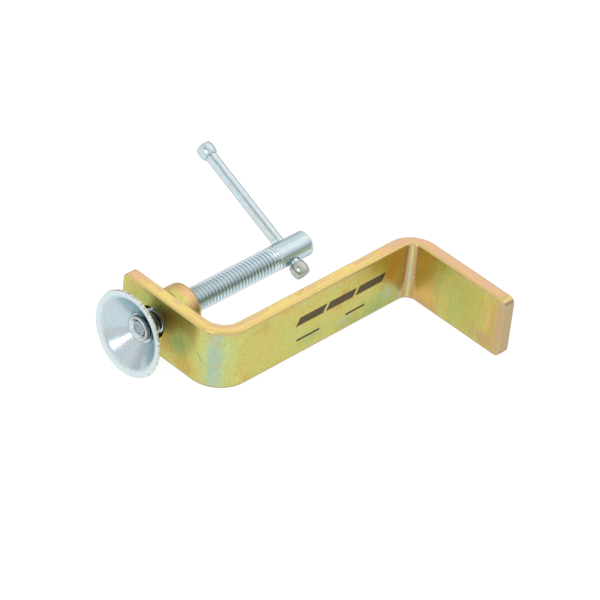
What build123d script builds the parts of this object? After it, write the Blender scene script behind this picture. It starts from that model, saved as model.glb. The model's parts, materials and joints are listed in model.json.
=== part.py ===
"""Screw clamp on a Z-bent flat bar.

A flat bar is bent into a Z: a web, a hook arm bent to the front and a screw arm bent to
the back. A round nut is welded over a hole in the screw arm, and a clamping screw runs
through it, parallel to the web. The screw carries a loose pressed cup at its working end
and a sliding tommy bar at its handle end.

Frame: millimetres. Origin at the centre of the web's front face, +X along the web to
the hook arm, +Y back to the screw, +Z up across the width of the flat bar.
"""
import os
from math import cos, radians, sin, sqrt

from build123d import *

# Flat bar
bar_width = 28.5            # across Z
bar_thickness = 6.0
web_length = 109.0          # between the centre lines of the two arms: 103 mm inside
screw_arm_length = 55.2     # from the web's centre line to the free end
hook_arm_length = 55.8
screw_bend_radius = 9.0     # inside radii of the bends
hook_bend_radius = 4.5
hook_outer_radius = 12.5    # the bar is a little thinner in this tight bend
end_corner_radius = 3.0     # corners of the bar's sheared ends
bar_edge_radius = 0.9
screw_hole_radius = 7.25    # clearance hole in the screw arm

# Screw, parallel to X
screw_y = bar_thickness / 2 + 36.7
screw_radius = 5.55         # major radius of the thread, 14 threads per inch
screw_length = 89.8         # shoulder to handle end
lead_chamfer = 0.9
handle_chamfer = 0.7
tommy_hole_inset = 11.0     # cross hole to the handle end

# Nut and its weld
nut_radius = 10.0
nut_length = 13.0
nut_crown_radius = 1.8
nut_bore_clearance = 0.07
bore_chamfer = 0.8
weld_leg = 3.0              # along the arm
weld_rise = 4.0             # along the nut
weld_bulge = 0.35

# Stack at the working end of the screw, from the screw arm outwards
shoulder_gap = 3.3          # screw arm to the shoulder of the screw
cup_play = 0.65             # free gap on each side of the cup's base
washer_thickness = 2.2
washer_radius = 5.6
washer_bore_radius = 2.8
washer_mouth_radius = 4.6
washer_mouth_depth = 1.5
spigot_radius = 2.7
peened_head_radius = 3.2
peened_head_inset = 0.8     # the head stays below the washer's face

# Pressed cup, given along the middle of its wall
cup_thickness = 1.2
cup_rest_tilt = 4.4         # degrees, the loose cup faces slightly upwards
cup_sag = 0.5               # it hangs that far below the screw's axis
cup_hole_radius = 3.4
cup_base_radius = 6.6
cup_cone_radius = 15.8
cup_cone_depth = 7.6
cup_lip_radius = 18.8
cup_lip_depth = 8.6
cup_base_bend = 1.8
cup_lip_bend = 2.5

# Tommy bar
tommy_angle = 24.0          # degrees of the long side above +Y
tommy_radius = 2.6
tommy_hole_clearance = 0.3
tommy_long_side = 55.5      # screw axis to the centre of the far knob
tommy_short_side = 9.1      # screw axis to the centre of the near knob
knob_radius = 3.8           # at the fullest of the barrel
knob_end_radius = 3.2
knob_neck = 2.6             # knob centre to its face towards the screw
knob_flat = 3.1             # knob centre to its outer face
knob_edge_radius = 0.35
socket_depth = 1.0          # end of the bar past the knob's centre

# Positions that follow from these
half_width = bar_width / 2
arm_x = -web_length / 2
arm_back = arm_x + bar_thickness / 2
arm_front = arm_x - bar_thickness / 2
hook_front = web_length / 2 - bar_thickness / 2
hook_back = web_length / 2 + bar_thickness / 2
screw_arm_end = bar_thickness / 2 + screw_arm_length
hook_arm_end = bar_thickness / 2 - hook_arm_length
shoulder_x = arm_front - shoulder_gap
cup_base_x = shoulder_x - cup_play - cup_thickness / 2
washer_back = cup_base_x - cup_thickness / 2 - cup_play
washer_front = washer_back - washer_thickness
handle_end = shoulder_x + screw_length
tommy_x = handle_end - tommy_hole_inset

screw_axis = Axis((0, screw_y, 0), (1, 0, 0))
screw_plane = Plane(origin=(0, screw_y, 0), x_dir=(1, 0, 0), z_dir=(0, -1, 0))

tilt = radians(cup_rest_tilt)
cup_pivot = (cup_base_x, screw_y, -cup_sag)
cup_direction = (cos(tilt), 0, -sin(tilt))
cup_axis = Axis(cup_pivot, cup_direction)
cup_plane = Plane(origin=cup_pivot, x_dir=cup_direction, z_dir=(0, -1, 0))

lean = radians(tommy_angle)
tommy_origin = (tommy_x, screw_y, 0)
tommy_direction = (0, cos(lean), sin(lean))
tommy_axis = Axis(tommy_origin, tommy_direction)
tommy_plane = Plane(origin=tommy_origin, x_dir=tommy_direction, z_dir=(1, 0, 0))


def half_section(plane, outline):
    """Closed half section of a turned piece, as points along its axis and out from it."""
    with BuildSketch(plane) as section:
        with BuildLine():
            Polyline(*outline, close=True)
        make_face()
    return section.sketch


def write(piece, name):
    """Label a finished piece and write its STEP file."""
    piece.part.label = name
    export_step(piece.part, f"parts/{name}.step")


os.makedirs("parts", exist_ok=True)

# Z-bent flat bar, with the clearance hole for the screw
bend_radii = {
    (arm_front, 0): screw_bend_radius + bar_thickness,
    (arm_back, bar_thickness): screw_bend_radius,
    (hook_front, 0): hook_bend_radius,
    (hook_back, bar_thickness): hook_outer_radius,
}
with BuildPart() as frame_bar:
    with BuildSketch(Plane.XY.offset(-half_width)) as bar_profile:
        with BuildLine():
            Polyline(
                (arm_front, screw_arm_end),
                (arm_front, 0),
                (hook_front, 0),
                (hook_front, hook_arm_end),
                (hook_back, hook_arm_end),
                (hook_back, bar_thickness),
                (arm_back, bar_thickness),
                (arm_back, screw_arm_end),
                close=True,
            )
        make_face()
        for corner, bend_radius in bend_radii.items():
            fillet(bar_profile.vertices().sort_by_distance(corner)[0], radius=bend_radius)
    extrude(amount=bar_width)
    sheared_corners = frame_bar.edges().filter_by(
        lambda edge: abs(edge.length - bar_thickness) < 0.01
    )
    fillet(sheared_corners, radius=end_corner_radius)
    outlines = frame_bar.edges().filter_by(
        lambda edge: abs(edge.length - bar_thickness) > 0.01
    )
    fillet(outlines, radius=bar_edge_radius)
    with BuildSketch(Plane(origin=(arm_x, screw_y, 0), z_dir=(1, 0, 0))):
        Circle(screw_hole_radius)
    extrude(amount=bar_thickness, both=True, mode=Mode.SUBTRACT)
write(frame_bar, "frame_bar")

# Round nut, its outer end crowned, standing on the back of the screw arm
nut_bore = screw_radius + nut_bore_clearance
nut_end = arm_back + nut_length
nut_section = half_section(
    screw_plane,
    [
        (arm_back, nut_bore + bore_chamfer),
        (arm_back, nut_radius),
        (nut_end, nut_radius),
        (nut_end, nut_bore + bore_chamfer),
        (nut_end - bore_chamfer, nut_bore),
        (arm_back + bore_chamfer, nut_bore),
    ],
)
with BuildPart() as weld_nut:
    revolve(nut_section, axis=screw_axis)
    crown = weld_nut.edges().filter_by(GeomType.CIRCLE).group_by(Axis.X)[-1]
    fillet(crown.sort_by(SortBy.RADIUS)[-1], radius=nut_crown_radius)
write(weld_nut, "weld_nut")

# Fillet weld around the foot of the nut
weld_middle = (
    arm_back + weld_rise / 2 + weld_bulge,
    nut_radius + weld_leg / 2 + weld_bulge,
)
with BuildPart() as weld_bead:
    with BuildSketch(screw_plane):
        with BuildLine():
            Polyline(
                (arm_back + weld_rise, nut_radius),
                (arm_back, nut_radius),
                (arm_back, nut_radius + weld_leg),
            )
            ThreePointArc(
                (arm_back, nut_radius + weld_leg),
                weld_middle,
                (arm_back + weld_rise, nut_radius),
            )
        make_face()
    revolve(axis=screw_axis)
write(weld_bead, "weld_bead")

# Clamping screw: handle end with its cross hole, threaded length, spigot and peened head
head_front = washer_front + peened_head_inset
head_back = washer_front + washer_mouth_depth
screw_section = half_section(
    screw_plane,
    [
        (head_front, 0),
        (head_front, peened_head_radius),
        (head_back, spigot_radius),
        (shoulder_x, spigot_radius),
        (shoulder_x, screw_radius - lead_chamfer),
        (shoulder_x + lead_chamfer, screw_radius),
        (handle_end - handle_chamfer, screw_radius),
        (handle_end, screw_radius - handle_chamfer),
        (handle_end, 0),
    ],
)
with BuildPart() as clamp_screw:
    revolve(screw_section, axis=screw_axis)
    with BuildSketch(Plane(origin=tommy_origin, z_dir=tommy_direction)):
        Circle(tommy_radius + tommy_hole_clearance)
    extrude(amount=2 * screw_radius, both=True, mode=Mode.SUBTRACT)
write(clamp_screw, "clamp_screw")

# Countersunk washer that the peened head holds on the spigot
washer_section = half_section(
    screw_plane,
    [
        (washer_front, washer_mouth_radius),
        (washer_front, washer_radius),
        (washer_back, washer_radius),
        (washer_back, washer_bore_radius),
        (washer_front + washer_mouth_depth, washer_bore_radius),
    ],
)
with BuildPart() as retaining_washer:
    revolve(washer_section, axis=screw_axis)
write(retaining_washer, "retaining_washer")

# Cup pressed from sheet: flat base with a loose hole, cone and flared lip
with BuildPart() as swivel_cup:
    with BuildSketch(cup_plane):
        with BuildLine():
            FilletPolyline(
                (0, cup_hole_radius),
                (0, cup_base_radius),
                (-cup_cone_depth, cup_cone_radius),
                (-cup_lip_depth, cup_lip_radius),
                radius=(cup_base_bend, cup_lip_bend),
            )
        trace(line_width=cup_thickness)
    revolve(axis=cup_axis)
write(swivel_cup, "swivel_cup")

# Tommy bar, plain rod between the two knobs
near_knob_centre = -tommy_short_side
far_knob_centre = tommy_long_side
rod_section = half_section(
    tommy_plane,
    [
        (near_knob_centre - socket_depth, 0),
        (near_knob_centre - socket_depth, tommy_radius),
        (far_knob_centre + socket_depth, tommy_radius),
        (far_knob_centre + socket_depth, 0),
    ],
)
with BuildPart() as tommy_bar:
    revolve(rod_section, axis=tommy_axis)
write(tommy_bar, "tommy_bar")


def knob_section(centre, outward):
    """Half section of a barrel-shaped knob with a blind socket for the bar."""
    neck = centre - outward * knob_neck
    socket_end = centre + outward * socket_depth
    flat = centre + outward * knob_flat
    with BuildSketch(tommy_plane) as section:
        with BuildLine():
            Polyline(
                (neck, knob_end_radius),
                (neck, tommy_radius),
                (socket_end, tommy_radius),
                (socket_end, 0),
                (flat, 0),
                (flat, knob_end_radius),
            )
            ThreePointArc((flat, knob_end_radius), (centre, knob_radius), (neck, knob_end_radius))
        make_face()
        rims = section.vertices().filter_by(
            lambda corner: abs(tommy_plane.to_local_coords(corner).Y - knob_end_radius) < 0.01
        )
        fillet(rims, radius=knob_edge_radius)
    return section.sketch


# Knob pressed on the long side of the tommy bar
with BuildPart() as far_knob:
    revolve(knob_section(far_knob_centre, 1), axis=tommy_axis)
write(far_knob, "far_knob")

# Knob pressed on the short side, after the bar is through the screw
with BuildPart() as near_knob:
    revolve(knob_section(near_knob_centre, -1), axis=tommy_axis)
write(near_knob, "near_knob")
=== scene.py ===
"""Screw clamp on a Z-bent bar: thread, cup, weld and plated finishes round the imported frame."""
import json
import math

import bmesh
import bpy
from mathutils import Matrix, Vector, noise


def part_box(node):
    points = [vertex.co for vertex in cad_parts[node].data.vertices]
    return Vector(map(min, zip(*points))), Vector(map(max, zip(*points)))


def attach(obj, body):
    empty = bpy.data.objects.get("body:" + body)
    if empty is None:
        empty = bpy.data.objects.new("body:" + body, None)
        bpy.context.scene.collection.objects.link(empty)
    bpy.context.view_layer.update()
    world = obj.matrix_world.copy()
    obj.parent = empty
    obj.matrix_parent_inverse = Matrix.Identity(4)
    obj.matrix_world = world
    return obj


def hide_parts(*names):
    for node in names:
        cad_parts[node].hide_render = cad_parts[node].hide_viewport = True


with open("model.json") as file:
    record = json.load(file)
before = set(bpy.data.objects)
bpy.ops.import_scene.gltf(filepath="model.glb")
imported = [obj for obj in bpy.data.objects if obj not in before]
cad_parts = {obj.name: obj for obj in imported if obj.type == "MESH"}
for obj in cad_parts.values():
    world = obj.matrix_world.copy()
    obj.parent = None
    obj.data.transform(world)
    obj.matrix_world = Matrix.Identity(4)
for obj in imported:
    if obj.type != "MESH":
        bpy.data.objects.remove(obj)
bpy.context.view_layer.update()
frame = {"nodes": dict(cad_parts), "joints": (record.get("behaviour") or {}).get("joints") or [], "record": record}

MM = 0.001

CUP_TILT = math.radians(4.4)    # of the cup at rest, about Y

# Places and sizes read from the frame
joints = {joint["name"]: joint for joint in frame["joints"]}
pitch = 2 * math.pi / frame["record"]["behaviour"]["couplings"][0]["ratio"]
bar_low, bar_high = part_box("frame_bar")
screw_low, screw_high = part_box("clamp_screw")
nut_low, nut_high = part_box("weld_nut")
bead_low, bead_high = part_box("weld_bead")
washer_low, washer_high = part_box("retaining_washer")
cup_low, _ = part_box("swivel_cup")
rod_low, rod_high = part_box("tommy_bar")
screw_line = (nut_low + nut_high) / 2
screw_radius = screw_high.z
rod_place = Vector(((rod_low.x + rod_high.x) / 2, screw_line.y, 0.0))
rod_direction = Vector(joints["bar_slide"]["axis"])
cup_pivot = Vector(joints["cup_tilt"]["pos_m"])

# ---------------------------------------------------------------- camera
CAMERA_PLACE = (-0.86761, -0.77561, 0.91023)
CAMERA_HEADING = 42.26      # degrees from +X
CAMERA_DIP = 37.82          # degrees below the horizon
CAMERA_ROLL = 6.15
CAMERA_LENS = 217.67


def make_camera():
    """The camera at the place that the photo was taken from."""
    data = bpy.data.cameras.new("camera")
    data.sensor_width = 36.0
    data.lens = CAMERA_LENS
    data.clip_start, data.clip_end = 0.05, 50.0
    camera = bpy.data.objects.new("camera", data)
    bpy.context.scene.collection.objects.link(camera)
    turn = (
        Matrix.Rotation(math.radians(CAMERA_HEADING - 90), 4, "Z")
        @ Matrix.Rotation(math.radians(90 - CAMERA_DIP), 4, "X")
        @ Matrix.Rotation(math.radians(CAMERA_ROLL), 4, "Z")
    )
    camera.matrix_world = Matrix.Translation(CAMERA_PLACE) @ turn
    bpy.context.scene.camera = camera


make_camera()


# ---------------------------------------------------------------- node helpers
class Graph:
    """Short ways to add shader nodes to one tree."""

    def __init__(self, tree):
        self.tree = tree

    def add(self, kind, inputs=None, **settings):
        node = self.tree.nodes.new("ShaderNode" + kind)
        for key, value in settings.items():
            setattr(node, key, value)
        for socket, value in (inputs or {}).items():
            if isinstance(value, bpy.types.NodeSocket):
                self.tree.links.new(value, node.inputs[socket])
            elif value is not None:
                node.inputs[socket].default_value = value
        return node

    def maths(self, operation, a, b=None, c=None, clamp=False):
        inputs = {0: a, 1: b, 2: c}
        return self.add("Math", inputs, operation=operation, use_clamp=clamp).outputs[0]

    def vector(self, operation, a, b=None):
        node = self.add("VectorMath", {0: a, 1: b}, operation=operation)
        return node.outputs["Value" if operation in ("LENGTH", "DOT_PRODUCT") else "Vector"]

    def split(self, vector):
        return self.add("SeparateXYZ", {0: vector}).outputs

    def join(self, x, y, z):
        return self.add("CombineXYZ", {0: x, 1: y, 2: z}).outputs[0]

    def noise(self, vector, scale, detail=3.0, roughness=0.55, distortion=0.0):
        inputs = {
            "Vector": vector,
            "Scale": scale,
            "Detail": detail,
            "Roughness": roughness,
            "Distortion": distortion,
        }
        return self.add("TexNoise", inputs).outputs["Fac"]

    def span(self, value, low, high, to_low=0.0, to_high=1.0, smooth=True):
        """Value from low to high, mapped to to_low to to_high and held beyond them."""
        inputs = {"Value": value, 1: low, 2: high, 3: to_low, 4: to_high}
        kind = "SMOOTHSTEP" if smooth else "LINEAR"
        return self.add("MapRange", inputs, interpolation_type=kind).outputs[0]

    def band(self, value, start, full, fade, end):
        """1 from full to fade, falling to 0 at start and at end."""
        return self.maths("MULTIPLY", self.span(value, start, full), self.span(value, end, fade))

    def ramp(self, value, stops):
        node = self.add("ValToRGB", {0: value})
        elements = node.color_ramp.elements
        while len(elements) < len(stops):
            elements.new(0.5)
        for element, (place, color) in zip(elements, stops):
            element.position = place
            element.color = (*color, 1.0)
        return node.outputs["Color"]

    def blend(self, factor, a, b, mode="MIX"):
        node = self.add("Mix", data_type="RGBA", blend_type=mode)
        for socket, value in zip((node.inputs[0], node.inputs[6], node.inputs[7]), (factor, a, b)):
            if isinstance(value, bpy.types.NodeSocket):
                self.tree.links.new(value, socket)
            elif isinstance(value, tuple):
                socket.default_value = (*value, 1.0)
            else:
                socket.default_value = value
        return node.outputs[2]

    def total(self, first, *others):
        for other in others:
            first = self.maths("ADD", first, other)
        return first

    def patch(self, place, centre, reach, distance_shift=None):
        """1 at centre, fading to 0 over reach along each axis."""
        offset = self.vector("DIVIDE", self.vector("SUBTRACT", place, centre), reach)
        distance = self.vector("LENGTH", offset)
        if distance_shift is not None:
            distance = self.maths("ADD", distance, distance_shift)
        return self.span(distance, 1.0, 0.0)


def metal(name):
    """A new metal material, its graph and its shader node."""
    material = bpy.data.materials.new(name)
    material.use_nodes = True
    graph = Graph(material.node_tree)
    shader = material.node_tree.nodes["Principled BSDF"]
    shader.inputs["Metallic"].default_value = 1.0
    return material, graph, shader


# ---------------------------------------------------------------- materials
EDGE_TINT = (0.55, 0.55, 0.55, 1.0)     # darkens the metal at grazing angles
CUP_EDGE_TINT = (0.95, 1.0, 1.0, 1.0)

# The film's colours, the print, the marks of wear, and painted highlights and shade
STRAW = (1.0, 0.79, 0.27)
GOLD = (0.96, 0.70, 0.24)
SALMON = (0.92, 0.57, 0.33)
PURPLE_PINK = (0.60, 0.36, 0.30)
DUSTY_PINK = (0.88, 0.58, 0.36)
SLATE = (0.42, 0.56, 0.43)
CYAN_GREEN = (0.52, 0.66, 0.30)
YELLOW_GREEN = (0.62, 0.61, 0.19)
OLIVE = (0.66, 0.58, 0.17)
DEEP_GREEN = (0.38, 0.48, 0.16)
BRONZE = (0.60, 0.43, 0.11)
HOOK_OLIVE = (0.47, 0.44, 0.11)
HOT_BRONZE = (0.60, 0.37, 0.09)
CORNER_BRONZE = (0.74, 0.43, 0.13)
RED_BRONZE = (0.64, 0.36, 0.12)
BEND_PINK = (0.62, 0.38, 0.18)
CREASE_HIGHLIGHT_GREEN = (0.56, 0.66, 0.24)
CREASE_HIGHLIGHT_GREY = (0.44, 0.58, 0.42)
END_BRONZE = (0.48, 0.39, 0.22)
STRAW_OLIVE = (0.80, 0.64, 0.20)
NUT_PINK = (0.78, 0.52, 0.27)
NUT_LIT_ROSE = (0.86, 0.52, 0.34)
SHEARED = (0.80, 0.80, 0.68)
EDGE_OLIVE = (0.50, 0.42, 0.16)
HEAD_BLUE = (0.44, 0.53, 0.60)
GRIME_AND_SHADE = (0.16, 0.18, 0.15)
# Painted shade, on the flanks of the hook's crease and along the bar's bottom edge
SHADE_BROWN = (0.30, 0.18, 0.075)
GREEN_FILM_AND_GLINT = (0.42, 0.54, 0.19)
RUST_PINK = (0.56, 0.38, 0.18)
BLUE_GREY = (0.46, 0.54, 0.52)
PRINT_BROWN = (0.085, 0.066, 0.05)
SCRATCH_BROWN = (0.16, 0.13, 0.07)

BAR_THICKNESS = 6.0 * MM
SCREW_BEND = 15 * MM                        # outside radius of the screw arm's bend
HOOK_BEND = 4.5 * MM                        # inside radius of the hook's bend

web_front, web_back = 0.0, BAR_THICKNESS    # y of the web's faces
arm_face = bar_low.x                        # x of the screw arm's outer face
hook_face = bar_high.x - BAR_THICKNESS      # x of the hook arm's inner face
crease_inset = HOOK_BEND * (1 - math.sqrt(0.5))
hook_crease = (hook_face - crease_inset, web_front - crease_inset)

# Two ends, half width and strength: one by the screw arm's bend, and three that make a nick in
# the web's upper edge
SCRATCHES = [
    ((-0.05735, 0.0129, 0.0010), (-0.0566, 0.0101, -0.0026), 0.30 * MM, 0.75),
    ((-0.0119, 0.0046, bar_high.z), (-0.0111, 0.0033, bar_high.z), 0.50 * MM, 0.34),
    ((-0.0076, 0.0050, bar_high.z), (-0.0096, 0.0040, bar_high.z), 0.50 * MM, 0.34),
    ((-0.0096, 0.0050, bar_high.z), (-0.0104, 0.0039, bar_high.z), 0.70 * MM, 0.16),
]

# Where the passivation film differs, on the nut and on the bar: colour, centre, reach and
# strength. On the nut the rose on top is partly a painted lit top, the red bronze low on the
# front partly painted shade, and the green spot a painted glint
NUT_FILM_AND_LIGHT_PATCHES = [
    (STRAW_OLIVE, (-0.0475, 0.0385, 0.0095), (0.0040, 0.006, 0.005), 0.80),
    (NUT_LIT_ROSE, (-0.0415, 0.0375, 0.0097), (0.0030, 0.005, 0.004), 0.75),
    (GREEN_FILM_AND_GLINT, (-0.0460, 0.0360, 0.0093), (0.0014, 0.0016, 0.002), 0.85),
    (RED_BRONZE, (-0.0405, 0.0310, 0.0047), (0.0028, 0.006, 0.005), 0.80),
]
FILM_PATCHES = [
    (DEEP_GREEN, (0.034, web_front, -0.012), (0.036, 0.006, 0.012), 0.95),
    (GREEN_FILM_AND_GLINT, (-0.004, web_front, -0.008), (0.012, 0.006, 0.006), 0.55),
    (SLATE, (0.0395, web_front, -0.006), (0.006, 0.006, 0.007), 0.55),
    (SLATE, (0.0135, web_front, -0.009), (0.006, 0.006, 0.004), 0.40),
    (RUST_PINK, (-0.036, web_front, 0.010), (0.012, 0.006, 0.004), 0.35),
    (BRONZE, (0.036, web_front, 0.010), (0.028, 0.008, 0.012), 0.80),
    (HOT_BRONZE, (0.038, web_front, 0.002), (0.009, 0.006, 0.007), 0.75),
    (CORNER_BRONZE, (hook_face, -0.008, 0.0), (0.016, 0.017, 0.040), 0.95),
    (BEND_PINK, (*hook_crease, 0.0), (0.0048, 0.0048, 0.060), 0.80),
    (HOOK_OLIVE, (hook_face, -0.030, 0.0), (0.008, 0.024, 0.030), 0.80),
    (BRONZE, (hook_face, -0.047, 0.0), (0.007, 0.010, 0.034), 0.90),
    (DEEP_GREEN, (hook_face, -0.016, 0.001), (0.005, 0.004, 0.008), 0.50),
    (GREEN_FILM_AND_GLINT, (hook_face, -0.027, -0.003), (0.005, 0.005, 0.012), 0.60),
    (RUST_PINK, (hook_face, -0.010, -0.0125), (0.005, 0.010, 0.004), 0.85),
    (RUST_PINK, (hook_face, -0.042, -0.010), (0.006, 0.010, 0.007), 0.80),
    (SALMON, (hook_face, -0.0445, 0.002), (0.003, 0.0022, 0.014), 0.40),
    (PURPLE_PINK, (hook_face, -0.0510, 0.0), (0.010, 0.0042, 0.034), 0.85),
    (DEEP_GREEN, (arm_face, 0.024, -0.002), (0.005, 0.009, 0.009), 0.90),
    (BRONZE, (arm_face, 0.018, -0.011), (0.005, 0.010, 0.006), 0.80),
    (RED_BRONZE, (arm_face, 0.031, 0.008), (0.005, 0.010, 0.010), 0.90),
    (HOT_BRONZE, (arm_face, 0.0315, -0.005), (0.005, 0.0045, 0.010), 0.85),
    (DEEP_GREEN, (arm_face, 0.051, 0.004), (0.005, 0.006, 0.012), 0.65),
    (CYAN_GREEN, (-0.0535, 0.0060, 0.0), (0.0105, 0.0105, 0.040), 0.90),
    (SLATE, (-0.0545, 0.0060, 0.0), (0.0055, 0.0055, 0.030), 0.95),
    (CYAN_GREEN, (0.0, web_back, 0.0), (0.070, 0.003, 0.040), 0.60),
    (BLUE_GREY, (0.012, web_back, 0.004), (0.085, 0.003, 0.030), 0.95),
    (BLUE_GREY, (0.0500, 0.0035, 0.0), (0.0090, 0.0080, 0.030), 0.90),
]


def film_patches(g, place, color):
    """The film patches of the bar over a colour, with streaked and broken outlines."""
    streaks = g.noise(g.vector("MULTIPLY", place, (260.0, 260.0, 70.0)), 1.0, 4.0, 0.6, 0.5)
    blotches = g.noise(place, 130.0, 4.0, 0.6, 0.8)
    shift = g.maths("MULTIPLY_ADD", streaks, 0.9, g.maths("MULTIPLY_ADD", blotches, 0.9, -0.9))
    for patch_color, centre, reach, strength in FILM_PATCHES:
        mask = g.patch(place, centre, reach, shift)
        color = g.blend(g.maths("MULTIPLY", mask, strength), color, patch_color)
    return color


def blotched(g, place, color):
    """Small green and reddish spots in the film."""
    spots = g.noise(place, 520.0, 3.0, 0.6, 0.5)
    wide = g.noise(place, 170.0, 2.0, 0.5, 0.4)
    color = g.blend(g.span(spots, 0.54, 0.72, 0.0, 0.42), color, HOT_BRONZE)
    color = g.blend(g.span(spots, 0.46, 0.28, 0.0, 0.38), color, DEEP_GREEN)
    return g.blend(g.span(wide, 0.54, 0.70, 0.0, 0.30), color, BRONZE)


def crease_film_and_light(g, x, y, z, color):
    """Pink film along the inside of the hook's bend, painted shade at its flanks, and a green painted highlight
    line along the crease.
    """
    offset = g.vector("SUBTRACT", g.join(x, y, 0.0), (*hook_crease, 0.0))
    from_crease = g.vector("LENGTH", offset)
    color = g.blend(g.span(from_crease, 2.5 * MM, 1.7 * MM, 0.0, 0.9), color, BEND_PINK)
    # Painted shade on both flanks of the crease
    flank = g.band(from_crease, 0.8 * MM, 2.0 * MM, 2.2 * MM, 3.2 * MM)
    color = g.blend(g.maths("MULTIPLY", flank, 0.3), color, SHADE_BROWN)
    # Painted highlight: a narrow green and grey line along the middle of the crease
    highlight_color = g.ramp(
        g.span(z, -12 * MM, 12 * MM, smooth=False),
        [(0.10, CREASE_HIGHLIGHT_GREEN), (0.35, CREASE_HIGHLIGHT_GREY), (0.60, CREASE_HIGHLIGHT_GREY), (0.85, CREASE_HIGHLIGHT_GREEN)],
    )
    return g.blend(g.span(from_crease, 0.75 * MM, 0.20 * MM), color, highlight_color)


def edge_color(g, place, x, y):
    """Colour of the bar's narrow edges: straw, and salmon towards both free ends, with
    lengthwise lines, a broken pink band and a green tip on the hook arm."""
    drift = g.noise(place, 38.0, 3.0, 0.55, 0.4)
    pink = g.maths(
        "MAXIMUM",
        g.span(x, 22 * MM, 56 * MM),
        g.span(y, 42 * MM, 57 * MM),
    )
    arm_middle = bar_high.x - BAR_THICKNESS / 2
    from_web = g.maths("ABSOLUTE", g.maths("SUBTRACT", y, BAR_THICKNESS / 2))
    from_arm = g.maths("ABSOLUTE", g.maths("SUBTRACT", g.maths("ABSOLUTE", x), arm_middle))
    across = g.maths("MULTIPLY", g.maths("MINIMUM", from_web, from_arm), 900.0)
    along = g.maths("MULTIPLY", g.maths("ADD", x, y), 70.0)
    lines = g.noise(g.join(across, along, 0.0), 1.0, 4.0, 0.6)
    level = g.total(
        g.maths("MULTIPLY_ADD", drift, 1.1, -0.50),
        g.maths("MULTIPLY", pink, 0.62),
        g.maths("MULTIPLY_ADD", lines, 1.8, -0.92),
    )
    color = g.ramp(level, [(0.0, STRAW), (0.25, GOLD), (0.60, SALMON), (0.85, DUSTY_PINK)])
    depth = sheet_depth(g, x, y)
    band = g.band(depth, 2.6 * MM, 3.6 * MM, 4.4 * MM, 5.2 * MM)
    broken = g.span(g.noise(place, 75.0, 3.0, 0.55, 0.3), 0.40, 0.54, 0.0, 0.90)
    color = g.blend(g.maths("MULTIPLY", band, broken), color, DUSTY_PINK)
    color = g.blend(g.span(depth, 2.3 * MM, 1.4 * MM, 0.0, 0.40), color, SALMON)
    color = g.blend(g.span(depth, 1.1 * MM, 0.5 * MM, 0.0, 0.70), color, OLIVE)
    color = g.blend(g.span(depth, 5.0 * MM, 5.8 * MM, 0.0, 0.75), color, EDGE_OLIVE)
    tip_place = (arm_middle, bar_low.y + 2.4 * MM, bar_high.z)
    tip = g.patch(place, tip_place, (5 * MM, 3.6 * MM, 4 * MM))
    return g.blend(g.maths("MULTIPLY", tip, 0.8), color, YELLOW_GREEN)


def sheet_depth(g, x, y):
    """Depth into the bar from the side with the web's front face, round both bends."""

    def beyond(first, second):
        return g.maths("MAXIMUM", g.maths("SUBTRACT", first, second), 0.0)

    def length(a, b):
        return g.vector("LENGTH", g.join(a, b, 0.0))

    screw_corner, hook_corner = arm_face + SCREW_BEND, hook_face - HOOK_BEND
    from_screw = length(beyond(screw_corner, x), beyond(SCREW_BEND, y))
    from_hook = length(beyond(x, hook_corner), beyond(y, -HOOK_BEND))
    screw_side = g.maths("LESS_THAN", x, 0.0)
    return g.total(
        g.maths("MULTIPLY", screw_side, g.maths("SUBTRACT", SCREW_BEND, from_screw)),
        g.maths(
            "MULTIPLY",
            g.maths("SUBTRACT", 1.0, screw_side),
            g.maths("SUBTRACT", from_hook, HOOK_BEND),
        ),
    )


def bar_color(g, place, film, small, fine):
    """Colour of the bar: film with its patches, narrow edges, rims, print, scratches, and painted shade and
    highlights.
    """
    x, y, z = g.split(place)[:3]
    film_color = [
        (0.0, BRONZE),
        (0.22, OLIVE),
        (0.42, YELLOW_GREEN),
        (0.62, YELLOW_GREEN),
        (1.0, CYAN_GREEN),
    ]
    color = film_patches(g, place, g.ramp(film, film_color))
    color = crease_film_and_light(g, x, y, z, blotched(g, place, color))
    on_edge = g.span(g.maths("ABSOLUTE", z), bar_high.z - 1.5 * MM, bar_high.z - 0.4 * MM)
    on_end = g.span(y, bar_low.y + 1.2 * MM, bar_low.y + 0.3 * MM)
    color = g.blend(g.maths("MAXIMUM", on_edge, on_end), color, edge_color(g, place, x, y))
    below_top = g.maths("SUBTRACT", bar_high.z, z)
    rim = g.band(below_top, 0.5 * MM, 0.9 * MM, 1.1 * MM, 1.7 * MM)
    rim = g.maths("MULTIPLY", rim, g.span(small, 0.35, 0.60, 0.25, 0.70))
    color = g.blend(rim, color, PURPLE_PINK)
    # Painted shade: darker along the bottom edge of the bar
    low_rim_shade = g.span(z, bar_low.z + 1.2 * MM, bar_low.z + 0.6 * MM, 0.0, 0.75)
    color = g.blend(low_rim_shade, color, SHADE_BROWN)
    end_tone = g.span(y, bar_low.y + 1.0 * MM, bar_low.y + 0.5 * MM, 0.0, 0.85)
    color = g.blend(end_tone, color, END_BRONZE)
    color = g.blend(web_print(g, x, y, z, fine), color, PRINT_BROWN)
    for first, last, half_width, strength in SCRATCHES:
        mask = scratch(g, place, first, last, half_width, strength)
        color = g.blend(mask, color, SCRATCH_BROWN)
    return color


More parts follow.
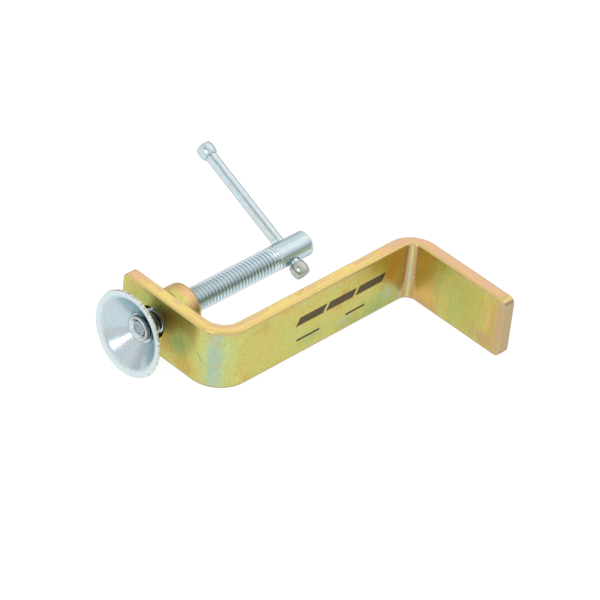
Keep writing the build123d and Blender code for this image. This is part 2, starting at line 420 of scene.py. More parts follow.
def nut_color(g, place):
    """Colour of the nut and its weld: greener towards the foot, bronze towards the end face, with patches that are
    partly film and partly painted light: a lit top, shade low on the front and a glint.
    """
    x = g.split(place)[0]
    tone = g.noise(place, 210.0, 5.0, 0.68, 1.6)
    foot = g.span(x, nut_low.x + 1.5 * MM, nut_high.x - 1 * MM, -0.22, 0.16)
    end_face = g.span(x, nut_high.x - 0.9 * MM, nut_high.x - 0.1 * MM, 0.0, 0.35)
    level = g.maths("MULTIPLY_ADD", tone, 2.1, g.maths("SUBTRACT", foot, 0.60))
    film_color = [
        (0.04, CYAN_GREEN),
        (0.16, YELLOW_GREEN),
        (0.34, STRAW_OLIVE),
        (0.60, NUT_PINK),
        (0.86, BRONZE),
    ]
    color = g.ramp(g.maths("ADD", level, end_face), film_color)
    for patch_color, centre, reach, strength in NUT_FILM_AND_LIGHT_PATCHES:
        mask = g.patch(place, centre, reach, g.maths("MULTIPLY_ADD", tone, 1.6, -0.8))
        color = g.blend(g.maths("MULTIPLY", mask, strength), color, patch_color)
    return color


def yellow_zinc(name, on_bar=False):
    """Yellow passivated zinc plate, whose thin film runs from straw to pink, slate and green; on the nut and at
    the hook's crease some of its colour is painted light and shade.
    """
    material, g, shader = metal(name)
    place = g.add("TexCoord").outputs["Object"]
    middle = g.noise(g.vector("MULTIPLY", place, (60.0, 60.0, 140.0)), 1.0, 4.0, 0.6, 0.3)
    fine = g.noise(place, 1400.0, 2.0, 0.6)
    roughness = g.total(
        g.maths("MULTIPLY_ADD", fine, 0.14, 0.18),
        g.maths("MULTIPLY", middle, 0.16),
    )
    if on_bar:
        broad = g.noise(place, 45.0, 3.0, 0.5, 0.6)
        small = g.noise(place, 420.0, 4.0, 0.65, 0.6)
        film = g.total(
            g.maths("MULTIPLY_ADD", broad, 1.5, -0.42),
            g.maths("MULTIPLY_ADD", middle, 1.0, -0.50),
            g.maths("MULTIPLY_ADD", small, 0.7, -0.35),
        )
        color = bar_color(g, place, film, small, fine)
        crease = g.patch(place, (*hook_crease, 0.0), (5 * MM, 5 * MM, 60 * MM))
        roughness = g.maths("MULTIPLY_ADD", crease, -0.14, roughness)
    else:
        color = nut_color(g, place)

    speckle = g.span(fine, 0.30, 0.75, 0.88, 1.07)
    color = g.blend(1.0, color, g.join(speckle, speckle, speckle), "MULTIPLY")
    g.tree.links.new(color, shader.inputs["Base Color"])
    g.tree.links.new(roughness, shader.inputs["Roughness"])
    shader.inputs["Specular Tint"].default_value = EDGE_TINT
    rolled = g.noise(g.vector("MULTIPLY", place, (500.0, 500.0, 1500.0)), 1.0, 3.0, 0.6)
    grain = g.add("Bump", {"Strength": 0.35, "Distance": 0.02 * MM, "Height": fine})
    waves = g.add(
        "Bump",
        {"Strength": 0.5, "Distance": 0.03 * MM, "Height": rolled, "Normal": grain.outputs[0]},
    )
    g.tree.links.new(waves.outputs[0], shader.inputs["Normal"])
    return material


def scratch(g, place, first, last, half_width, strength):
    """A short scratch between two points, at its strength along the middle third."""
    along = Vector(last) - Vector(first)
    offset = g.vector("SUBTRACT", place, first)
    travelled = g.vector("DOT_PRODUCT", offset, tuple(along))
    share = g.maths("DIVIDE", travelled, along.length_squared, clamp=True)
    nearest = g.add("VectorMath", {0: tuple(along), "Scale": share}, operation="SCALE").outputs[0]
    distance = g.vector("LENGTH", g.vector("SUBTRACT", offset, nearest))
    return g.span(distance, half_width, half_width / 3, 0.0, strength)


# Bars of the printed mark: centre x and z, half length and half height in millimetres, slant
PRINT_BARS = [
    (-7, -6.4, 6.5, 0.55, 0.0),
    (20, -6.4, 5.5, 0.55, 0.0),
    (-6, 3.2, 7.7, 2.0, 0.5),
    (11, 3.2, 7.7, 2.0, 0.5),
    (28, 3.2, 7.7, 2.0, 0.5),
]


def web_print(g, x, y, z, fine):
    """Plain printed mark on the front of the web: three slanted blocks over two short bars."""
    shape = 1.0
    for centre_x, centre_z, half_length, half_height, slant in PRINT_BARS:
        across = g.maths("SUBTRACT", z, centre_z * MM)
        along = g.maths("MULTIPLY_ADD", across, -slant, g.maths("SUBTRACT", x, centre_x * MM))
        outside = g.maths(
            "MAXIMUM",
            g.maths("SUBTRACT", g.maths("ABSOLUTE", across), half_height * MM),
            g.maths("SUBTRACT", g.maths("ABSOLUTE", along), half_length * MM),
        )
        shape = g.maths("MINIMUM", shape, outside)
    shape = g.span(shape, 0.15 * MM, -0.1 * MM)
    on_front = g.span(y, 0.3 * MM, 0.1 * MM)
    worn = g.span(fine, 0.25, 0.5, 0.70, 0.95)
    return g.maths("MULTIPLY", g.maths("MULTIPLY", shape, on_front), worn)


# Colours of the bright zinc, of its worn, stained and dirty areas, and of its painted highlights and shade
BRIGHT = (0.62, 0.73, 0.77)
CUP_GREY = (0.56, 0.65, 0.69)
DULL = (0.52, 0.56, 0.51)
LIP_BROWN = (0.30, 0.25, 0.18)
LIP_HIGHLIGHT = (0.68, 0.79, 0.81)
# Painted highlight on the thread's crests and painted shade in its roots: lighter and darker copies of the zinc
THREAD_CREST_HIGHLIGHT = (0.76, 0.86, 0.90)
ROOT_SHADE_GREY = (0.60, 0.69, 0.73)
BEIGE = (0.62, 0.55, 0.45)
SIDE_SHADE_TEAL = (0.27, 0.33, 0.37)
NO_STREAK = (0.3, 0.3, 0.3)     # the same along every axis
ACROSS_STREAK, ALONG_STREAK = 1500.0, 120.0     # scales of the streaks' noise

# Radii at which a colour starts and is full, about the screw's axis or the cup's own
ROOTS_START, ROOTS_FULL = 5.42 * MM, 5.10 * MM
LIP_START, LIP_FULL = 15.4 * MM, 17.2 * MM
SHEARED_START, SHEARED_FULL = 18.30 * MM, 18.55 * MM
STAIN_START, STAIN_FULL = 18.35 * MM, 18.65 * MM
WASHER_LIP_START, WASHER_LIP_FULL = 4.55 * MM, 4.75 * MM
WASHER_SIDE_START, WASHER_SIDE_FULL = 5.1 * MM, 5.4 * MM


def bright_zinc(
    name,
    along=(1.0, 0.0, 0.0),
    roughness=0.22,
    tint=BRIGHT,
    areas=(),
    edge_tint=EDGE_TINT,
):
    """Bright zinc plate over drawn or pressed steel, streaked along one axis.
    areas are pairs of a colour and a function of (graph, place) that says where it shows."""
    material, g, shader = metal(name)
    place = g.add("TexCoord").outputs["Object"]
    stretch = tuple(ACROSS_STREAK - (ACROSS_STREAK - ALONG_STREAK) * abs(v) for v in along)
    streak = g.noise(g.vector("MULTIPLY", place, stretch), 1.0, 3.0, 0.6)
    cloud = g.noise(place, 220.0, 3.0, 0.6)
    fine = g.noise(place, 2600.0, 2.0, 0.6)
    warm = tuple(c * f for c, f in zip(tint, (1.05, 0.98, 0.94)))
    cold = tuple(c * f for c, f in zip(tint, (0.94, 1.01, 1.03)))
    color = g.ramp(cloud, [(0.35, warm), (0.62, cold)])
    shade = g.span(
        g.maths("MULTIPLY_ADD", streak, 0.6, g.maths("MULTIPLY", fine, 0.4)), 0.3, 0.7, 0.86, 1.06
    )
    for area_color, shown in areas:
        color = g.blend(shown(g, place), color, area_color)
    color = g.blend(1.0, color, g.join(shade, shade, shade), "MULTIPLY")
    g.tree.links.new(color, shader.inputs["Base Color"])
    rough = g.maths("MULTIPLY_ADD", cloud, 0.16, roughness - 0.08)
    rough = g.maths("MULTIPLY_ADD", streak, 0.10, g.maths("SUBTRACT", rough, 0.05))
    g.tree.links.new(rough, shader.inputs["Roughness"])
    shader.inputs["Specular Tint"].default_value = edge_tint
    drawn = g.add("Bump", {"Strength": 0.4, "Distance": 0.012 * MM, "Height": streak})
    grain = g.add(
        "Bump",
        {"Strength": 0.3, "Distance": 0.010 * MM, "Height": fine, "Normal": drawn.outputs[0]},
    )
    g.tree.links.new(grain.outputs[0], shader.inputs["Normal"])
    return material


def from_axis(g, place, origin, axis):
    """Distance out from an axis."""
    offset = g.vector("SUBTRACT", place, tuple(origin))
    return g.vector("LENGTH", g.vector("CROSS_PRODUCT", offset, tuple(axis)))


def from_screw_line(g, place):
    """Distance out from the screw's axis."""
    return from_axis(g, place, screw_line, (1.0, 0.0, 0.0))


def from_cup_line(g, place):
    """Distance out from the tilted cup's axis."""
    axis = Matrix.Rotation(CUP_TILT, 3, "Y") @ Vector((1, 0, 0))
    return from_axis(g, place, cup_pivot, axis)


def on_thread(g, place):
    """The threaded part of the screw."""
    x = g.split(place)[0]
    before_end = g.span(x, rod_place.x - 5.0 * MM, rod_place.x - 9.0 * MM)
    return g.maths("MULTIPLY", before_end, g.span(x, shoulder - 0.2 * MM, shoulder + 0.2 * MM))


def shaded_roots(g, place):
    """Painted shade in the flanks and roots of the thread."""
    inside = g.span(from_screw_line(g, place), ROOTS_START, ROOTS_FULL)
    return g.maths("MULTIPLY", inside, on_thread(g, place))


def on_head(g, place):
    """The peened head."""
    return g.span(g.split(place)[0], screw_low.x + 1.6 * MM, screw_low.x + 1.2 * MM)


def head_grime_and_thread_shade(g, place):
    """Broken dark flecks on the screw from the arm's outer face to the peened head: grime in the dents of the
    head, and painted shade on the thread between the cup and the arm.
    """
    x = g.split(place)[0]
    broken = g.span(g.noise(place, 1300.0, 3.0, 0.7), 0.47, 0.60)
    behind_cup = g.span(x, arm_face + 1.0 * MM, arm_face - 0.2 * MM)
    return g.maths("MULTIPLY", g.maths("MULTIPLY", broken, behind_cup), 0.85)


def cup_lip(g, place):
    """The cup's flared lip, in lighter zinc as a painted highlight."""
    return g.span(from_cup_line(g, place), LIP_START, LIP_FULL)


def cup_edge(g, place):
    """The cup's sheared edge."""
    return g.span(from_cup_line(g, place), SHEARED_START, SHEARED_FULL, 0.0, 0.8)


def cup_lip_stain(g, place):
    """Broken brown specks on the cup's sheared edge."""
    edge = g.span(from_cup_line(g, place), STAIN_START, STAIN_FULL)
    broken = g.span(g.noise(place, 900.0, 3.0, 0.7), 0.46, 0.60)
    return g.maths("MULTIPLY", edge, g.maths("MULTIPLY", broken, 0.75))


def washer_stain(g, place):
    """Beige film on the washer's worn front edge."""
    x = g.split(place)[0]
    front_edge = g.span(x, washer_low.x + 0.50 * MM, washer_low.x + 0.30 * MM)
    lip = g.span(from_screw_line(g, place), WASHER_LIP_START, WASHER_LIP_FULL)
    broken = g.span(g.noise(place, 800.0, 3.0, 0.6), 0.34, 0.56, 0.0, 0.85)
    return g.maths("MULTIPLY", g.maths("MULTIPLY", front_edge, lip), broken)


def shaded_washer_side(g, place):
    """Painted shade on the side of the washer, down in the cup."""
    x = g.split(place)[0]
    behind_lip = g.span(x, washer_low.x + 0.35 * MM, washer_low.x + 0.75 * MM)
    side = g.span(from_screw_line(g, place), WASHER_SIDE_START, WASHER_SIDE_FULL)
    return g.maths("MULTIPLY", behind_lip, side)


# ---------------------------------------------------------------- mesh helpers
def piece(name, mesh, body, material, replaced=(), matrix=None, sharp=35.0):
    """Shows a mesh on a body, with a sharp edge wherever it turns by more than sharp degrees."""
    for polygon in mesh.polygons:
        polygon.use_smooth = True
    mesh.set_sharp_from_angle(angle=math.radians(sharp))
    mesh.materials.append(material)
    if matrix is not None:
        mesh.transform(matrix)
    made = bpy.data.objects.new(name, mesh)
    bpy.context.scene.collection.objects.link(made)
    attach(made, body)
    if replaced:
        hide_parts(*replaced)


POLE_RADIUS = 1e-7              # a smaller ring is one point
JOIN_DISTANCE = 1e-6            # points nearer than this are made one


def add_rings(built, outline, segments, closed=False, wobble=None):
    """Rings about local X from (along, radius) points, joined by faces; a radius of 0 is a pole.
    wobble(along, radius, angle) gives how far each point moves out."""
    rings = []
    for along, radius in outline:
        if radius < POLE_RADIUS:
            rings.append([built.verts.new((along, 0, 0))])
            continue
        ring = []
        for step in range(segments):
            angle = 2 * math.pi * step / segments
            out = radius + (wobble(along, radius, angle) if wobble else 0.0)
            ring.append(built.verts.new((along, out * math.cos(angle), out * math.sin(angle))))
        rings.append(ring)
    pairs = list(zip(rings, rings[1:]))
    if closed:
        pairs.append((rings[-1], rings[0]))
    for first, second in pairs:
        for step in range(segments):
            a, b = step, (step + 1) % segments
            corners = [
                first[a % len(first)],
                first[b % len(first)],
                second[b % len(second)],
                second[a % len(second)],
            ]
            built.faces.new(list(dict.fromkeys(corners)))
    return rings


def finished(built, name):
    """The mesh of a closed bmesh, with its seams joined and its faces outwards."""
    bmesh.ops.remove_doubles(built, verts=built.verts, dist=JOIN_DISTANCE)
    bmesh.ops.recalc_face_normals(built, faces=built.faces)
    mesh = bpy.data.meshes.new(name)
    built.to_mesh(mesh)
    built.free()
    return mesh


def lathe(name, outline, segments, closed=False, wobble=None):
    """Mesh of a turned piece about local X."""
    built = bmesh.new()
    add_rings(built, outline, segments, closed, wobble)
    return finished(built, name)


def cut(mesh, cutter, name):
    """A new mesh: the first with the second taken away."""
    whole, tool = (bpy.data.objects.new("cut_" + m.name, m) for m in (mesh, cutter))
    for part in (whole, tool):
        bpy.context.scene.collection.objects.link(part)
    boolean = whole.modifiers.new("cut", "BOOLEAN")
    boolean.operation, boolean.solver, boolean.object = "DIFFERENCE", "EXACT", tool
    bpy.context.view_layer.update()
    depsgraph = bpy.context.evaluated_depsgraph_get()
    made = bpy.data.meshes.new_from_object(whole.evaluated_get(depsgraph))
    made.name = name
    for part in (whole, tool):
        bpy.data.objects.remove(part)
    return made


def on_screw_line():
    """Place of a piece that is turned about the screw's axis."""
    return Matrix.Translation((0.0, screw_line.y, 0.0))


# ---------------------------------------------------------------- frame: bar, nut and weld
def paint_node(name, material):
    """Gives a CAD node a material."""
    mesh = frame["nodes"][name].data
    mesh.materials.clear()
    mesh.materials.append(material)


WELD_SINK = 0.2 * MM            # how far the weld is let into the arm and the nut
WELD_RIPPLES = 26
WELD_RIPPLE_DEPTH = 0.22 * MM
WELD_RIPPLE_LAG = 2.7           # radians by which a ripple bows at the middle of the fillet
WELD_BULGE = 0.4 * MM
WELD_STEPS = 8                  # across the fillet


def weld_mesh():
    """Fillet weld round the foot of the nut, laid in overlapping ripples."""
    foot, top = bead_low.x, bead_high.x
    inner, outer = nut_high.y - screw_line.y, bead_high.y - screw_line.y - WELD_RIPPLE_DEPTH
    outline = [(foot - WELD_SINK, inner - WELD_SINK), (foot - WELD_SINK, outer)]
    for step in range(WELD_STEPS + 1):
        share = step / WELD_STEPS
        bulge = WELD_BULGE * math.sin(math.pi * share)
        outline.append((
            foot + (top - foot) * share + bulge,
            outer + (inner - outer) * share + bulge,
        ))
    outline.append((top, inner - WELD_SINK))
    low, high = foot + 0.1 * MM, top - 0.3 * MM

    def wobble(along, radius, angle):
        if not low < along < high:
            return 0.0
        lag = WELD_RIPPLE_LAG * math.sin(math.pi * (along - low) / (high - low))
        wave = math.cos(WELD_RIPPLES * angle + lag)
        place = Vector((along / MM, 3 * math.cos(angle), 3 * math.sin(angle)))
        return WELD_RIPPLE_DEPTH * (0.55 * wave - 0.45 + 0.8 * noise.noise(place))

    return lathe("weld_ripples", outline, 8 * WELD_RIPPLES, closed=True, wobble=wobble)


paint_node("weld_nut", yellow_zinc("yellow_zinc_nut"))
paint_node("frame_bar", yellow_zinc("yellow_zinc_bar", on_bar=True))
piece(
    "weld_ripples",
    weld_mesh(),
    "frame",
    yellow_zinc("yellow_zinc_weld"),
    ["weld_bead"],
    on_screw_line(),
    sharp=60.0,
)

# ---------------------------------------------------------------- screw
SHOULDER_GAP = 3.3 * MM         # screw arm to the screw's shoulder
THREAD_DEPTH = 0.6134 * pitch
CREST_FLAT = 0.12               # half the crest, in half pitches
FLANK_WIDTH = 0.62              # in half pitches
FLANK_EASE = 0.05               # how much the flank is eased into the crest and the root
THREAD_STEPS = 64               # points in one turn
THREAD_CUTS = 16                # points in one pitch
THREAD_END = 5.5 * MM           # end of the thread to the middle of the cross hole
THREAD_FADE = 3.6 * pitch       # length over which the thread runs out
LEAD_RADIUS = 4.35 * MM         # at the shoulder
LEAD_SLOPE = 1.1
SPIGOT_RADIUS = 2.7 * MM
SPIGOT_FILLET = 0.25 * MM
HEAD_RADIUS = 3.2 * MM          # of the peened head
HEAD_ROUNDING = 0.35 * MM
HEAD_RINGS = 8
PEEN_DEPTH = 0.7 * MM
DENT_DEPTH = 0.26 * MM          # of the peened head's dents
DENT_SIZE = 1.1 * MM
CROSS_HOLE_RADIUS = 2.9 * MM
COUNTERSINK_RADIUS = 5.2 * MM   # at the cutter's reach
HOLE_SEGMENTS = 72
COUNTERSINK_FOOT = 5.15 * MM    # from the screw's axis, like the reach
CUTTER_REACH = 8 * MM
END_CHAMFER = 0.7 * MM
PLAIN_STEPS = 16                # along the plain end
END_RINGS = 8

shoulder = bar_low.x - SHOULDER_GAP
thread_end = rod_place.x - THREAD_END


def thread_radius(along, phase):
    """Radius at a place on the thread; a whole phase is the middle of a crest."""
    away = 2 * abs(phase - round(phase))
    flank = min(max((away - CREST_FLAT) / FLANK_WIDTH, 0.0), 1.0)
    flank -= FLANK_EASE * math.sin(2 * math.pi * flank)
    fade = min(max((thread_end - along) / THREAD_FADE, 0.0), 1.0)
    radius = screw_radius - THREAD_DEPTH * flank * fade
    return min(radius, LEAD_RADIUS + LEAD_SLOPE * (along - shoulder))


def screw_mesh():
    """The whole screw before its cross hole is cut: helical thread, plain end, spigot and peened head."""
    built = bmesh.new()
    turns = math.ceil((thread_end - shoulder) / pitch)
    rows = []
    for row in range(-THREAD_CUTS, (turns + 1) * THREAD_CUTS + 1):
        ring = []
        for step in range(THREAD_STEPS):
            turn = step / THREAD_STEPS
            angle = 2 * math.pi * turn
            along = shoulder + (row / THREAD_CUTS + turn) * pitch
            along = min(max(along, shoulder), thread_end)
            radius = thread_radius(along, (along - shoulder) / pitch - turn)
            y, z = radius * math.cos(angle), radius * math.sin(angle)
            ring.append(built.verts.new((along, y, z)))
        rows.append(ring)
    for row in range(len(rows) - 1 - THREAD_CUTS):
        for step in range(THREAD_STEPS):
            after = step + 1
            shift = THREAD_CUTS if after == THREAD_STEPS else 0
            after %= THREAD_STEPS
            built.faces.new((
                rows[row][step],
                rows[row + shift][after],
                rows[row + shift + 1][after],
                rows[row + 1][step],
            ))

    # Spigot and peened head, from the first ring of the thread inwards
    head_front = screw_low.x
    tip = [
        (shoulder, LEAD_RADIUS),
        (shoulder, SPIGOT_RADIUS + SPIGOT_FILLET),
        (shoulder - SPIGOT_FILLET, SPIGOT_RADIUS),
        (head_front + PEEN_DEPTH, SPIGOT_RADIUS),
        (head_front + 0.30 * MM, HEAD_RADIUS - 0.12 * MM),
        (head_front + 0.16 * MM, HEAD_RADIUS),
        (head_front + 0.05 * MM, HEAD_RADIUS - 0.10 * MM),
        (head_front, HEAD_RADIUS - HEAD_ROUNDING),
    ]
    for ring in range(HEAD_RINGS - 1, -1, -1):
        tip.append((head_front, (HEAD_RADIUS - HEAD_ROUNDING) * ring / HEAD_RINGS))
    for ring in add_rings(built, tip, THREAD_STEPS):
        for vert in ring:
            if vert.co.x < head_front + 0.1 * MM:
                place = vert.co / DENT_SIZE
                dent = 0.5 + 0.5 * noise.noise(place) + 0.35 * noise.noise(place * 2.3)
                vert.co.x += DENT_DEPTH * max(dent, 0.0)

    # Plain handle end
    end = screw_high.x
    plain_length = end - END_CHAMFER - thread_end
    plain = [(thread_end, screw_radius)]
    for step in range(1, PLAIN_STEPS):
        plain.append((thread_end + plain_length * step / PLAIN_STEPS, screw_radius))
    plain += [
        (end - END_CHAMFER, screw_radius),
        (end - 0.8 * END_CHAMFER, screw_radius - 0.1 * END_CHAMFER),
        (end - 0.1 * END_CHAMFER, screw_radius - 0.85 * END_CHAMFER),
        (end, screw_radius - END_CHAMFER),
    ]
    for ring in range(END_RINGS - 1, -1, -1):
        plain.append((end, (screw_radius - END_CHAMFER) * ring / END_RINGS))
    add_rings(built, plain, THREAD_STEPS)
    return finished(built, "screw_solid")


def cross_hole_mesh():
    """Tool that cuts the cross hole, with a small countersink at both ends."""
    half = [
        (COUNTERSINK_FOOT, CROSS_HOLE_RADIUS),
        (COUNTERSINK_FOOT + 0.20 * MM, CROSS_HOLE_RADIUS + 0.08 * MM),
        (CUTTER_REACH, COUNTERSINK_RADIUS),
    ]
    mirrored = [(-along, radius) for along, radius in reversed(half)]
    outline = [(-CUTTER_REACH, 0.0), *mirrored, *half, (CUTTER_REACH, 0.0)]
    mesh = lathe("cross_hole", outline, HOLE_SEGMENTS)
    across = rod_direction.to_track_quat("X", "Z").to_matrix().to_4x4()
    mesh.transform(Matrix.Translation((rod_place.x, 0, 0)) @ across)
    return mesh


screw_zinc = bright_zinc(
    "bright_zinc_screw",
    areas=[
        # Painted highlight on the thread's crests and painted shade in its roots
        (THREAD_CREST_HIGHLIGHT, on_thread),
        (ROOT_SHADE_GREY, shaded_roots),
        (HEAD_BLUE, on_head),
        # Dark flecks: grime on the peened head, painted shade on the thread behind the cup
        (GRIME_AND_SHADE, head_grime_and_thread_shade),
    ],
)
piece(
    "threaded_screw",
    cut(screw_mesh(), cross_hole_mesh(), "threaded_screw"),
    "screw",
    screw_zinc,
    ["clamp_screw"],
    on_screw_line(),
    sharp=38.0,
)

# ---------------------------------------------------------------- cup and washer
CUP_HALF_SHEET = 0.6 * MM
CUP_MIDDLE = [(0, 3.4), (0, 6.6), (-7.6, 15.8), (-8.6, 18.8)]   # mm, along and out, mid-sheet
CUP_BENDS = (1.8 * MM, 2.5 * MM)     # radii at the two inner corners, mid-sheet
CUP_EDGE_RADIUS = 0.22 * MM
CUP_SEGMENTS = 160
UNEVEN_START = 12 * MM          # radius where the cup's sheet starts to be uneven
BEND_STEPS = 8
SHEET_STEP = 0.8 * MM           # greatest distance between points along the sheet
WASHER_BORE = 2.8 * MM
WASHER_MOUTH = 4.6 * MM
WASHER_MOUTH_DEPTH = 1.5 * MM
WASHER_SEGMENTS = 96
MOUTH_STEPS = 4


def arc_points(before, corner, after, radius, steps):
    """Points of the arc that rounds one corner of an outline."""
    to_before, to_after = (before - corner).normalized(), (after - corner).normalized()
    half = to_before.angle(to_after) / 2
    centre = corner + (to_before + to_after).normalized() * radius / math.sin(half)
    start, end = (corner + side * radius / math.tan(half) for side in (to_before, to_after))
    a, b = start - centre, end - centre
    return [centre + a.slerp(b, step / steps).normalized() * radius for step in range(steps + 1)]


def sheet_outline(corners, bends, half_sheet, edge_radius):
    """Closed outline of a bent sheet from the corners of its mid-line, all in metres."""
    points = [Vector(c) for c in corners]
    middle = [points[0]]
    for before, corner, after, radius in zip(points, points[1:], points[2:], bends):
        middle += arc_points(before, corner, after, radius, BEND_STEPS)
    middle.append(points[-1])
    dense = [middle[0]]
    for first, second in zip(middle, middle[1:]):
        pieces = max(1, round((second - first).length / SHEET_STEP))
        dense += [first.lerp(second, (n + 1) / pieces) for n in range(pieces)]
    last = len(dense) - 1
    insets = {0: edge_radius, last: -edge_radius}
    left, right = [], []
    for index, point in enumerate(dense):
        along = (dense[min(index + 1, last)] - dense[max(index - 1, 0)]).normalized()
        normal = Vector((-along.y, along.x))
        inset = along * insets.get(index, 0.0)
        left.append(point + normal * half_sheet + inset)
        right.append(point - normal * half_sheet + inset)

    def rounded(index):
        across = (left[index] - right[index]).normalized() * (half_sheet - edge_radius)
        return [dense[index] + across, dense[index] - across]

    outline = left + rounded(last) + right[::-1] + rounded(0)[::-1]
    return [tuple(p) for p in outline]


def cup_mesh():
    """Cup pressed from sheet, its lip a little uneven from the press."""
    corners = [(a * MM, r * MM) for a, r in CUP_MIDDLE]
    outline = sheet_outline(corners, CUP_BENDS, CUP_HALF_SHEET, CUP_EDGE_RADIUS)
    far = max(radius for _, radius in outline)

    def wobble(along, radius, angle):
        share = max((radius - UNEVEN_START) / (far - UNEVEN_START), 0.0)
        uneven = noise.noise(Vector((1.4 * math.cos(angle), 1.4 * math.sin(angle), 3.0)))
        burr = noise.noise(Vector((9 * math.cos(angle), 9 * math.sin(angle), 7.0)))
        return -share * (0.10 * MM * (0.6 + uneven) + 0.03 * MM * (0.6 + burr))

    return lathe("pressed_cup", outline, CUP_SEGMENTS, closed=True, wobble=wobble)


def washer_mesh():
    """Countersunk washer, its front edge an uneven rounded lip."""
    front, back = washer_low.x, washer_high.x
    outside = washer_high.y - screw_line.y
    lip, lip_depth = (outside + WASHER_MOUTH) / 2, 0.10 * MM
    outline = [
        (back, WASHER_BORE),
        (back, outside - 0.25 * MM),
        (back - 0.25 * MM, outside),
        (front + 0.60 * MM, outside),
        (front + 0.30 * MM, outside - 0.03 * MM),
        (front + lip_depth, outside - 0.14 * MM),
        (front, lip + 0.05 * MM),
        (front, lip - 0.08 * MM),
        (front + lip_depth, WASHER_MOUTH),
    ]
    for step in range(1, MOUTH_STEPS + 1):
        share = step / MOUTH_STEPS
        outline.append((
            front + lip_depth + (WASHER_MOUTH_DEPTH - lip_depth) * share,
            WASHER_MOUTH + (WASHER_BORE - WASHER_MOUTH) * share,
        ))

    def wobble(along, radius, angle):
        if along > front + 0.35 * MM:
            return 0.0
        place = Vector((3 * math.cos(angle), 3 * math.sin(angle), along / MM))
        return 0.10 * MM * noise.noise(place)

    return lathe("cup_washer", outline, WASHER_SEGMENTS, closed=True, wobble=wobble)


piece(
    "pressed_cup",
    cup_mesh(),
    "cup",
    bright_zinc(
        "bright_zinc_cup",
        along=NO_STREAK,
        roughness=0.24,
        tint=CUP_GREY,
        # The lighter lip is a painted highlight
        areas=[(LIP_HIGHLIGHT, cup_lip), (SHEARED, cup_edge), (LIP_BROWN, cup_lip_stain)],
        edge_tint=CUP_EDGE_TINT,
    ),
    ["swivel_cup"],
    Matrix.Translation(cup_pivot) @ Matrix.Rotation(CUP_TILT, 4, "Y"),
    sharp=50.0,
)
piece(
    "cup_washer",
    washer_mesh(),
    "washer",
    bright_zinc("bright_zinc_washer", areas=[(SIDE_SHADE_TEAL, shaded_washer_side), (BEIGE, washer_stain)]),
    ["retaining_washer"],
    on_screw_line(),
    sharp=50.0,
)

# ---------------------------------------------------------------- tommy bar
paint_node("tommy_bar", bright_zinc("bright_zinc_rod", along=tuple(rod_direction)))
paint_node("far_knob", bright_zinc("bright_zinc_far_knob", along=NO_STREAK))
paint_node("near_knob", bright_zinc("bright_zinc_near_knob", along=NO_STREAK, tint=DULL))

# ---------------------------------------------------------------- floor and light
FLOOR_GLOW = 0.93
FLOOR_BASE = (0.14, 0.14, 0.14, 1.0)
FLOOR_SIZE = 8.0
FLOOR_GAP = 0.05 * MM           # under the cup


def make_floor():
    """Pale floor through the lowest point of the cup and the low edge of the hook arm."""
    slope = math.atan2(bar_low.z - cup_low.z, bar_high.x - cup_low.x)
    bpy.ops.mesh.primitive_plane_add(
        size=FLOOR_SIZE,
        location=(cup_low.x, 0, cup_low.z - FLOOR_GAP),
        rotation=(0, -slope, 0),
    )
    floor = bpy.context.object
    floor.name = "floor"
    material = bpy.data.materials.new("floor_paper")
    material.use_nodes = True
    shader = material.node_tree.nodes["Principled BSDF"]
    shader.inputs["Base Color"].default_value = FLOOR_BASE
    shader.inputs["Roughness"].default_value = 0.9
    shader.inputs["Specular IOR Level"].default_value = 0.1
    shader.inputs["Emission Color"].default_value = (1, 1, 1, 1)
    shader.inputs["Emission Strength"].default_value = FLOOR_GLOW
    floor.data.materials.append(material)


def aim(azimuth, elevation):
    """Unit vector towards azimuth, from +X, and elevation, in degrees."""
    a, e = math.radians(azimuth), math.radians(elevation)
    return Vector((math.cos(a) * math.cos(e), math.sin(a) * math.cos(e), math.sin(e)))


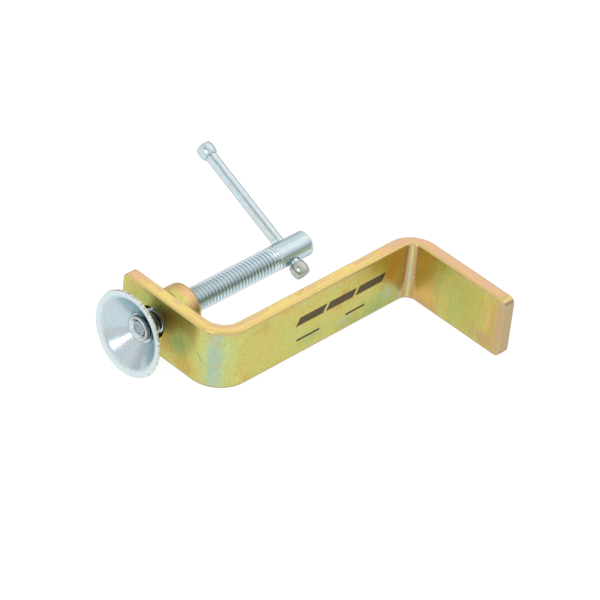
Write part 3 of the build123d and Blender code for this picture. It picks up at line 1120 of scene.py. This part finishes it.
def make_softbox(name, azimuth, elevation, distance, size, radiance):
    """A soft area light that faces the origin."""
    data = bpy.data.lights.new(name, "AREA")
    data.shape = "RECTANGLE"
    data.size, data.size_y = size
    data.energy = radiance * math.pi * size[0] * size[1]
    light = bpy.data.objects.new(name, data)
    away = aim(azimuth, elevation)
    turn = away.to_track_quat("Z", "Y").to_matrix().to_4x4()
    light.matrix_world = Matrix.Translation(away * distance) @ turn
    bpy.context.scene.collection.objects.link(light)


# The tent's level from the horizon, at 0.5, to straight up, at 1
TENT_LEVELS = [
    (0.50, (0.70, 0.70, 0.71)),
    (0.66, (0.76, 0.76, 0.77)),
    (0.80, (0.86, 0.87, 0.88)),
]

# Brighter and darker areas of the tent: azimuth, elevation, full and outer radius in degrees,
# and level
TENT_AREAS = [
    (0, 54, 14, 44, 1.22),
    (-171, 55, 5, 16, 0.42),
    (-150, 3, 10, 26, 0.88),
    (42, 38, 8, 30, 0.97),
    (152, 12, 14, 34, 1.05),
    (-54, 2, 7, 16, 0.08),
]


def make_world():
    """White tent that gets brighter upwards, with areas of its own, and white to the camera."""
    world = bpy.data.worlds.new("tent")
    bpy.context.scene.world = world
    world.use_nodes = True
    g = Graph(world.node_tree)
    direction = g.add("TexCoord").outputs["Generated"]
    up = g.split(direction)[2]
    level = g.ramp(g.maths("MULTIPLY_ADD", up, 0.5, 0.5), TENT_LEVELS)
    for azimuth, elevation, full, outer, brightness in TENT_AREAS:
        towards = g.vector("DOT_PRODUCT", direction, tuple(aim(azimuth, elevation)))
        mask = g.span(towards, math.cos(math.radians(outer)), math.cos(math.radians(full)))
        level = g.blend(mask, level, (brightness,) * 3)
    seen = g.add("LightPath").outputs["Is Camera Ray"]
    level = g.blend(seen, level, (1.0, 1.0, 1.0))
    background = world.node_tree.nodes["Background"]
    g.tree.links.new(level, background.inputs["Color"])


make_floor()
make_world()
make_softbox(
    "window", azimuth=-167, elevation=35, distance=1.2, size=(0.29, 0.46), radiance=3.6
)
bpy.context.scene.view_settings.view_transform = "Standard"
